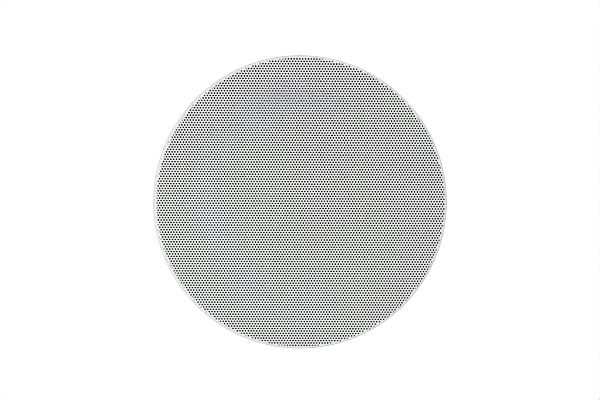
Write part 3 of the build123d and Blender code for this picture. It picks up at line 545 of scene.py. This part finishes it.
def make_scrim():
    """The black cloth behind the holes, stretched flat and glued to the sheet."""
    low, high = corners_of("grille_scrim")
    front, rear = low[2] + SCRIM_GAP, high[2]
    reach = np.linspace(0, 1, SCRIM_RINGS)
    outline = [(r, front) for r in reach] + [(r, rear) for r in reach[::-1]]
    points, faces = spun(outline, SCRIM_STEPS)
    points = points * [*SCRIM_HALF, 1] + [SCRIM_SHIFT, 0, 0]
    scrim = as_piece("scrim_disc", (points, faces), "scrim_cloth", "grille_cap", "grille_scrim")


# Soft pieces of the frame and the woofer

def make_gasket():
    """The foam strip on the flange, with soft edges and a joint between its ends."""
    radius, height = turned_section("ceiling_gasket")
    inner, outer = radius.min() + GASKET_EDGE, radius.max() - GASKET_EDGE
    low, high = height.min() + GASKET_EDGE, height.max() - GASKET_EDGE
    corners = [(outer, low), (outer, high), (inner, high), (inner, low)]
    outline = np.concatenate([arc(corner, GASKET_EDGE, 90 * k - 90, 90 * k, GASKET_EDGE_STEPS)
                              for k, corner in enumerate(corners)])
    open_angle = GASKET_JOINT / outer
    shape = spun(outline, GASKET_STEPS, GASKET_JOINT_ANGLE + open_angle, 2 * pi - open_angle)
    gasket = as_piece("gasket_strip", shape, "gasket_foam", "chassis", "ceiling_gasket")


def hang(piece):
    """Bakes a round piece's placement into its points."""
    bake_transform(piece)


def make_surround():
    """The rubber half roll between the cone and the mounting ring."""
    radius, height = turned_section("woofer_surround")
    inner, outer = radius.min(), radius.max()
    seat = height.min()
    roll = height.max() - seat
    centre = (radius[height.argmax()], seat)
    rise = np.degrees(np.arcsin(RUBBER / roll))
    outline = np.concatenate([
        [(inner, seat)], arc(centre, roll - RUBBER, 180, 0, ROLL_STEPS),
        [(outer, seat), (outer, seat + RUBBER)],
        arc(centre, roll, rise, 180 - rise, ROLL_STEPS), [(inner, seat + RUBBER)],
    ])
    shape = spun(outline, TURNED_STEPS)
    surround = as_piece("surround_roll", shape, "surround_rubber", node="woofer_surround")
    hang(surround)


def make_spider():
    """The corrugated cloth disc that centres the coil."""
    radius, height = turned_section("spider")
    inner, outer = radius.min(), radius.max()
    depth = height.max() - height.min() - SPIDER_WALL
    reach = np.append(np.linspace(inner, SPIDER_FLAT, SPIDER_STEPS), outer)
    turns = 2 * pi * SPIDER_WAVES * (np.minimum(reach, SPIDER_FLAT) - inner) / (SPIDER_FLAT - inner)
    rear = height.max() - depth * (0.5 - 0.5 * np.cos(turns))
    front = rear - SPIDER_WALL
    outline = np.concatenate([np.column_stack([reach, front]), np.column_stack([reach, rear])[::-1]])
    spider = as_piece("spider_disc", spun(outline, TURNED_STEPS), "spider_cloth", node="spider")
    hang(spider)


# Fasteners

def make_screws(name, node, axis):
    """Tapping screws for a node of several, with their heads along an axis."""
    shapes = []
    for low, high in islands(node):
        half = np.abs(axis) @ (high - low) / 2
        seat = (low + high) / 2 + np.array(axis) * (half - TAPPING["height"])
        shapes.append(placed(screw(**TAPPING, length=2 * half - TAPPING["height"]), seat, axis))
    as_piece(name, joined(*shapes), "plated_steel", "chassis", node)


def make_clamp_screw(number):
    """A clamp's long screw, with a collar that keeps it in the ledge."""
    low, high = corners_of(f"clamp_screw_{number}")
    middle = (low + high) / 2
    seat = low[2] + CLAMP["height"]
    shaft = placed(screw(**CLAMP, length=high[2] - seat), (middle[0], middle[1], seat), (0, 0, -1))
    bottom, top, reach = CLAMP_COLLAR
    bore = CLAMP["shaft"] - THREAD_DEPTH
    collar = spun([(bore, bottom), (reach, bottom), (reach, top), (bore, top)], SCREW_STEPS)
    collar = (collar[0] + [middle[0], middle[1], 0], collar[1])
    as_piece(f"clamp_thread_{number}", joined(shaft, collar), "plated_steel", f"screw_{number}",
             f"clamp_screw_{number}")


# Crossover parts

def make_coil():
    """The inductor's copper wire, in close turns over the layers below."""
    low, high = corners_of("inductor_winding")
    middle = (low + high) / 2
    outer = (high[2] - low[2]) / 2
    length = high[0] - low[0]
    turns = int(length / (2 * COIL_WIRE)) - 1
    angle = np.linspace(0, 2 * pi * turns, turns * COIL_STEPS)
    along = np.linspace(COIL_WIRE, length - COIL_WIRE, len(angle))
    ring = outer - COIL_WIRE
    wire = swept(np.column_stack([ring * np.cos(angle), ring * np.sin(angle), along]), COIL_WIRE)
    below = spun([(outer / 2, 0), (ring, 0), (ring, length), (outer / 2, length)], COIL_STEPS)
    as_piece("inductor_turns", placed(joined(wire, below), (low[0], middle[1], middle[2]), (1, 0, 0)),
             "coil_copper", "chassis", "inductor_winding")


def make_capacitor(node):
    """A wrapped film capacitor lying along Y, with sunk ends and leads bent down to the board."""
    low, high = corners_of(node)
    board = corners_of("crossover_board")[1][0]
    middle = (low + high) / 2
    radius = (high[0] - low[0]) / 2
    length = high[1] - low[1]
    end = [(0, CAN_RECESS), (radius - 2 * CAN_EDGE, CAN_RECESS), (radius - 1.5 * CAN_EDGE, 0)]
    half = end + arc((radius - CAN_EDGE, CAN_EDGE), CAN_EDGE, -90, 0, CAN_EDGE_STEPS).tolist()
    outline = half + [(r, length - along) for r, along in reversed(half)]
    can = placed(spun(outline, CAN_STEPS), (middle[0], low[1], middle[2]), (0, 1, 0))
    as_piece(f"{node}_can", can, "capacitor_film", "chassis", node)
    leads = []
    bend = arc((0, -LEAD_BEND), LEAD_BEND, 90, 0, LEAD_BEND_STEPS)
    out = np.concatenate([[(-2 * CAN_RECESS, 0)], bend, [(LEAD_BEND, board - middle[0])]])
    for side, face in ((-1, low[1]), (1, high[1])):
        path = np.column_stack([middle[0] + out[:, 1], face + side * out[:, 0], np.full(len(out), middle[2])])
        leads.append(swept(path, LEAD_WIRE))
    as_piece(f"{node}_leads", joined(*leads), "plated_steel", "chassis")


def make_resistor():
    """The ceramic resistor, a block with soft edges."""
    low, high = corners_of("resistor")
    as_piece("resistor_block", block(low, high, BLOCK_EDGE), "resistor_ceramic", "chassis", "resistor")


# Nodes of materials

def texture(tree, kind, scale):
    """A texture in the object's own coordinates."""
    place = tree.nodes.new("ShaderNodeTexCoord")
    node = tree.nodes.new(kind)
    node.inputs["Scale"].default_value = scale
    tree.links.new(place.outputs["Object"], node.inputs["Vector"])
    return node


def noise(tree, size):
    """A noise whose features are about size millimetres across."""
    node = texture(tree, "ShaderNodeTexNoise", 1 / (size * MM))
    node.inputs["Detail"].default_value = NOISE_DETAIL
    return node.outputs["Fac"]


def wave(tree, period, direction, wave_type="BANDS", distortion=0.0):
    """Even ridges, period millimetres apart, across a direction or round an axis."""
    node = texture(tree, "ShaderNodeTexWave", WAVE_UNIT / (period * MM))
    node.wave_type = wave_type
    node.bands_direction = node.rings_direction = direction
    node.inputs["Distortion"].default_value = distortion
    return node.outputs["Fac"]


def ranged(tree, value, low, high, start=0.3, end=0.7):
    """The value mapped onto another range."""
    node = tree.nodes.new("ShaderNodeMapRange")
    node.inputs["From Min"].default_value = start
    node.inputs["From Max"].default_value = end
    node.inputs["To Min"].default_value = low
    node.inputs["To Max"].default_value = high
    tree.links.new(value, node.inputs["Value"])
    return node.outputs["Result"]


def combined(tree, operation, first, second):
    """Two values put together by an operation."""
    node = tree.nodes.new("ShaderNodeMath")
    node.operation = operation
    for socket, value in zip(node.inputs, (first, second)):
        if isinstance(value, float):
            socket.default_value = value
        else:
            tree.links.new(value, socket)
    return node.outputs["Value"]


def mixed(tree, share, first, second):
    """A colour between two, by a share."""
    node = tree.nodes.new("ShaderNodeMix")
    node.data_type = "RGBA"
    sockets = {socket.identifier: socket for socket in (*node.inputs, *node.outputs)}
    sockets["A_Color"].default_value = (*first, 1)
    sockets["B_Color"].default_value = (*second, 1)
    tree.links.new(share, sockets["Factor_Float"])
    return sockets["Result_Color"]


def between(tree, share, first, second):
    """A shader between two, by a share."""
    node = tree.nodes.new("ShaderNodeMixShader")
    for socket, value in zip(node.inputs, (share, first, second)):
        tree.links.new(value, socket)
    return node.outputs["Shader"]


# Patterns, each a height between 0 and 1

def weave(tree, pitch):
    """Crossed threads."""
    return combined(tree, "MULTIPLY", wave(tree, pitch, "X"), wave(tree, pitch, "Y"))


def pores(tree, size):
    """Round cells with walls between them."""
    return texture(tree, "ShaderNodeTexVoronoi", 1 / (size * MM)).outputs["Distance"]


def lathe_marks(tree, period):
    """Fine uneven rings about the axis, as a lathe leaves."""
    rings = wave(tree, period, "Z", "RINGS", distortion=0.6)
    return combined(tree, "MULTIPLY", rings, noise(tree, 3 * period))


def flecks(tree, size):
    """Scattered specks, with soft edges."""
    return ranged(tree, noise(tree, size), 0, 1, start=0.55, end=0.68)


def tracks(tree, period):
    """Broken bands, as copper shows under the lacquer of a board."""
    bands = ranged(tree, wave(tree, period, "Y", distortion=0.8), 0, 1, start=0.45, end=0.55)
    breaks = ranged(tree, noise(tree, 3 * period), 0, 1, start=0.45, end=0.5)
    return combined(tree, "MULTIPLY", bands, breaks)


# Finishes, by the names of the record's slots

finishes = {}


def new_finish(name, metallic, specular):
    """An empty finish with one shader."""
    material = bpy.data.materials.new(name)
    material.use_nodes = True
    tree = material.node_tree
    tree.nodes.clear()
    output = tree.nodes.new("ShaderNodeOutputMaterial")
    shader = tree.nodes.new("ShaderNodeBsdfPrincipled")
    shader.inputs["Metallic"].default_value = metallic
    shader.inputs["Specular IOR Level"].default_value = specular
    tree.links.new(shader.outputs["BSDF"], output.inputs["Surface"])
    finishes[name] = material
    return tree, shader


def roughened(tree, shader, grain, roughness, vary):
    """A roughness that a grain varies by a share either way."""
    varied = ranged(tree, grain, roughness * (1 - vary), min(1.0, roughness * (1 + vary)))
    tree.links.new(varied, shader.inputs["Roughness"])


def bumped(tree, shader, height, depth):
    """Raises the surface by a height whose full depth is in millimetres."""
    node = tree.nodes.new("ShaderNodeBump")
    node.inputs["Distance"].default_value = depth * MM
    tree.links.new(height, node.inputs["Height"])
    tree.links.new(node.outputs["Normal"], shader.inputs["Normal"])


def grained(name, colour, roughness, metallic=0.0, specular=0.5, vary=0.12, mottle=14.0, grain=0.5,
            depth=0.02):
    """A moulded, painted or plated finish: slow changes of colour, and a fine grain in gloss and height."""
    tree, shader = new_finish(name, metallic, specular)
    pale = tuple(min(1.0, c * (1 + vary)) for c in colour)
    dark = tuple(c * (1 - vary) for c in colour)
    tree.links.new(mixed(tree, noise(tree, mottle), dark, pale), shader.inputs["Base Color"])
    fine = noise(tree, grain)
    roughened(tree, shader, fine, roughness, GRAINED_GLOSS)
    bumped(tree, shader, fine, depth)


def patterned(name, pattern, size, dark, pale, roughness, depth, metallic=0.0, specular=0.5, mottle=9.0):
    """A finish with a pattern of its own in colour and height, over slow changes of colour."""
    tree, shader = new_finish(name, metallic, specular)
    height = pattern(tree, size)
    share = combined(tree, "ADD", combined(tree, "MULTIPLY", height, PATTERN_SHARE),
                     combined(tree, "MULTIPLY", noise(tree, mottle), 1 - PATTERN_SHARE))
    tree.links.new(mixed(tree, share, dark, pale), shader.inputs["Base Color"])
    roughened(tree, shader, noise(tree, PATTERN_GRAIN), roughness, PATTERNED_GLOSS)
    bumped(tree, shader, height, depth)


def make_finishes():
    """Every finish, with its colours, roughness and the sizes in millimetres of its grain or pattern."""
    # Grille and frame
    grained("grille_paint", (0.93, 0.93, 0.93), 0.6, specular=0.25, vary=0.015, mottle=30, depth=0.012)
    patterned("scrim_cloth", weave, 0.6, (0.0005,) * 3, (0.002,) * 3, 0.95, 0.1, specular=0.03, mottle=6)
    grained("frame_plastic", (0.82, 0.82, 0.80), 0.45, vary=0.03, mottle=25, grain=0.4)
    patterned("gasket_foam", pores, 0.9, (0.02,) * 3, (0.075,) * 3, 0.9, 0.25, mottle=4)
    grained("magnet_nickel", (0.74, 0.72, 0.68), 0.22, metallic=1.0, vary=0.05, mottle=5, depth=0.004)
    grained("clamp_nylon", (0.62, 0.61, 0.57), 0.42, vary=0.05, mottle=8, grain=0.6)
    grained("plated_steel", (0.62, 0.61, 0.57), 0.32, metallic=1.0, vary=0.1, mottle=4, depth=0.005)
    # Woofer
    grained("basket_polymer", (0.035, 0.035, 0.037), 0.5, vary=0.2, mottle=10, grain=0.7)
    grained("surround_rubber", (0.025, 0.025, 0.025), 0.7, vary=0.2, mottle=9, grain=0.4)
    patterned("cone_polymer", flecks, 1.2, (0.042, 0.042, 0.046), (0.075, 0.075, 0.08), 0.4, 0.03)
    grained("former_foil", (0.8, 0.8, 0.8), 0.3, metallic=1.0, vary=0.06, mottle=6, depth=0.01)
    grained("coil_copper", (0.72, 0.38, 0.2), 0.3, metallic=1.0, mottle=3, depth=0.01)
    patterned("spider_cloth", weave, 0.8, (0.58, 0.45, 0.21), (0.82, 0.68, 0.38), 0.85, 0.15, mottle=5)
    patterned("motor_steel", lathe_marks, 0.8, (0.47, 0.47, 0.46), (0.6, 0.6, 0.59), 0.44, 0.02, metallic=1.0)
    patterned("ferrite", flecks, 0.9, (0.06, 0.06, 0.064), (0.1, 0.1, 0.107), 0.6, 0.05)
    # Tweeter
    grained("bridge_plastic", (0.03, 0.03, 0.032), 0.5, vary=0.2, mottle=12, grain=0.45)
    patterned("dome_silk", weave, 0.5, (0.025, 0.025, 0.03), (0.06, 0.06, 0.065), 0.6, 0.06, mottle=4)
    # Crossover
    grained("bracket_steel", (0.04, 0.04, 0.04), 0.45, vary=0.15, mottle=10, grain=0.6)
    patterned("board_fibre", tracks, 3.2, (0.022, 0.17, 0.075), (0.05, 0.27, 0.11), 0.35, 0.04)
    grained("bobbin_plastic", (0.04, 0.04, 0.04), 0.5, vary=0.2, mottle=8)
    grained("capacitor_film", (0.8, 0.62, 0.1), 0.3, vary=0.06, mottle=7, grain=1.2)
    grained("resistor_ceramic", (0.78, 0.76, 0.71), 0.8, vary=0.06, mottle=3, grain=0.4, depth=0.05)
    grained("terminal_plastic", (0.04, 0.04, 0.04), 0.4, vary=0.2, mottle=9)
    grained("button_red", (0.6, 0.03, 0.03), 0.35, vary=0.06, mottle=6)
    grained("button_black", (0.03, 0.03, 0.03), 0.35, vary=0.2, mottle=6)


def finish_nodes():
    """Gives every node of the frame the finish of its slot."""
    for part in frame["record"]["subparts"]:
        mesh = nodes[part["node"]].data
        mesh.materials.clear()
        mesh.materials.append(finishes[part["material_slot"]])


# Floor, light and camera

def make_floor():
    """A pale floor under the grille, seen from above only, that fades out into the white round it."""
    height = (GRILLE_FACE - FLOOR_GAP) * MM
    corners = [(x * FLOOR_HALF, y * FLOOR_HALF, height) for x, y in ((-1, -1), (1, -1), (1, 1), (-1, 1))]
    mesh = bpy.data.meshes.new("floor")
    mesh.from_pydata(corners, [], [(0, 1, 2, 3)])
    floor = bpy.data.objects.new("floor", mesh)
    scene.collection.objects.link(floor)
    material = bpy.data.materials.new("floor_paper")
    material.use_nodes = True
    tree = material.node_tree
    tree.nodes.clear()
    paper = tree.nodes.new("ShaderNodeBsdfDiffuse")
    paper.inputs["Color"].default_value = FLOOR_COLOUR
    clear = tree.nodes.new("ShaderNodeBsdfTransparent")
    place = tree.nodes.new("ShaderNodeNewGeometry")
    away = tree.nodes.new("ShaderNodeVectorMath")
    away.operation = "LENGTH"
    tree.links.new(place.outputs["Position"], away.inputs[0])
    faded = ranged(tree, away.outputs["Value"], 0, 1, *FLOOR_FADE)
    gone = combined(tree, "MAXIMUM", place.outputs["Backfacing"], faded)
    output = tree.nodes.new("ShaderNodeOutputMaterial")
    shown = between(tree, gone, paper.outputs["BSDF"], clear.outputs["BSDF"])
    tree.links.new(shown, output.inputs["Surface"])
    mesh.materials.append(material)
    floor.visible_shadow = False
    floor.visible_diffuse = False
    floor.visible_glossy = False


def make_world():
    """A white world to look at and to reflect, which lights the object softly, most of all from above."""
    world = bpy.data.worlds.new("studio")
    scene.world = world
    world.use_nodes = True
    tree = world.node_tree
    tree.nodes.clear()
    white = tree.nodes.new("ShaderNodeBackground")
    soft = tree.nodes.new("ShaderNodeBackground")
    white.inputs["Color"].default_value = WHITE
    soft.inputs["Color"].default_value = WHITE
    direction = tree.nodes.new("ShaderNodeTexCoord")
    parts = tree.nodes.new("ShaderNodeSeparateXYZ")
    tree.links.new(direction.outputs["Generated"], parts.inputs["Vector"])
    tree.links.new(ranged(tree, parts.outputs["Z"], *WORLD_LIGHT, *WORLD_HEIGHTS), soft.inputs["Strength"])
    path = tree.nodes.new("ShaderNodeLightPath")
    seen = combined(tree, "MAXIMUM", path.outputs["Is Camera Ray"], path.outputs["Is Glossy Ray"])
    seen = combined(tree, "MAXIMUM", seen, path.outputs["Is Transmission Ray"])
    output = tree.nodes.new("ShaderNodeOutputWorld")
    shown = between(tree, seen, soft.outputs["Background"], white.outputs["Background"])
    tree.links.new(shown, output.inputs["Surface"])


def make_lamp(name, place, size, power, mirrored):
    """A soft square lamp that faces the object, and which shiny parts may mirror."""
    lamp = bpy.data.lights.new(name, "AREA")
    lamp.size = size
    lamp.energy = power
    holder = bpy.data.objects.new(name, lamp)
    holder.location = place
    holder.rotation_euler = (-Vector(place)).to_track_quat("-Z", "Y").to_euler()
    holder.visible_camera = False
    holder.visible_glossy = mirrored
    scene.collection.objects.link(holder)


def make_camera():
    """A camera below the grille, a little to one side of its axis, with -Y upwards in the picture."""
    camera = bpy.data.cameras.new("camera")
    camera.sensor_width = CAMERA_SENSOR
    camera.lens = CAMERA_LENS
    camera.clip_end = CAMERA_END
    holder = bpy.data.objects.new("camera", camera)
    target = Vector([place * MM for place in (*CAMERA_TARGET, GRILLE_FACE)])
    back = Vector((sin(CAMERA_OFF_AXIS[0]), sin(CAMERA_OFF_AXIS[1]), -1)).normalized()
    right = Vector((0, -1, 0)).cross(back).normalized()
    up = back.cross(right)
    turn = Matrix((right, up, back)).transposed().to_4x4()
    holder.matrix_world = Matrix.Translation(target + back * CAMERA_DISTANCE) @ turn
    scene.collection.objects.link(holder)
    scene.camera = holder


# The dressed object

make_finishes()
finish_nodes()
make_grille()
make_scrim()
make_gasket()
make_surround()
make_spider()
make_screws("woofer_pan_screws", "woofer_screws", (0, 0, 1))
make_screws("bracket_pan_screws", "bracket_screws", (0, 0, 1))
make_screws("bridge_pan_screws", "bridge_screws", (0, 0, -1))
make_screws("board_pan_screws", "board_screws", (1, 0, 0))
for number in range(1, 5):
    make_clamp_screw(number)
make_coil()
make_capacitor("large_capacitor")
make_capacitor("small_capacitor")
make_resistor()

# The stage

make_floor()
make_world()
for name, settings in LAMPS.items():
    make_lamp(name, *settings)
make_camera()

scene.view_settings.view_transform = "Standard"
# A narrow filter and an unsmoothed denoiser keep the small holes apart
scene.cycles.filter_width = FILTER_WIDTH
scene.cycles.denoising_input_passes = "RGB_ALBEDO"
scene.cycles.denoising_prefilter = "NONE"
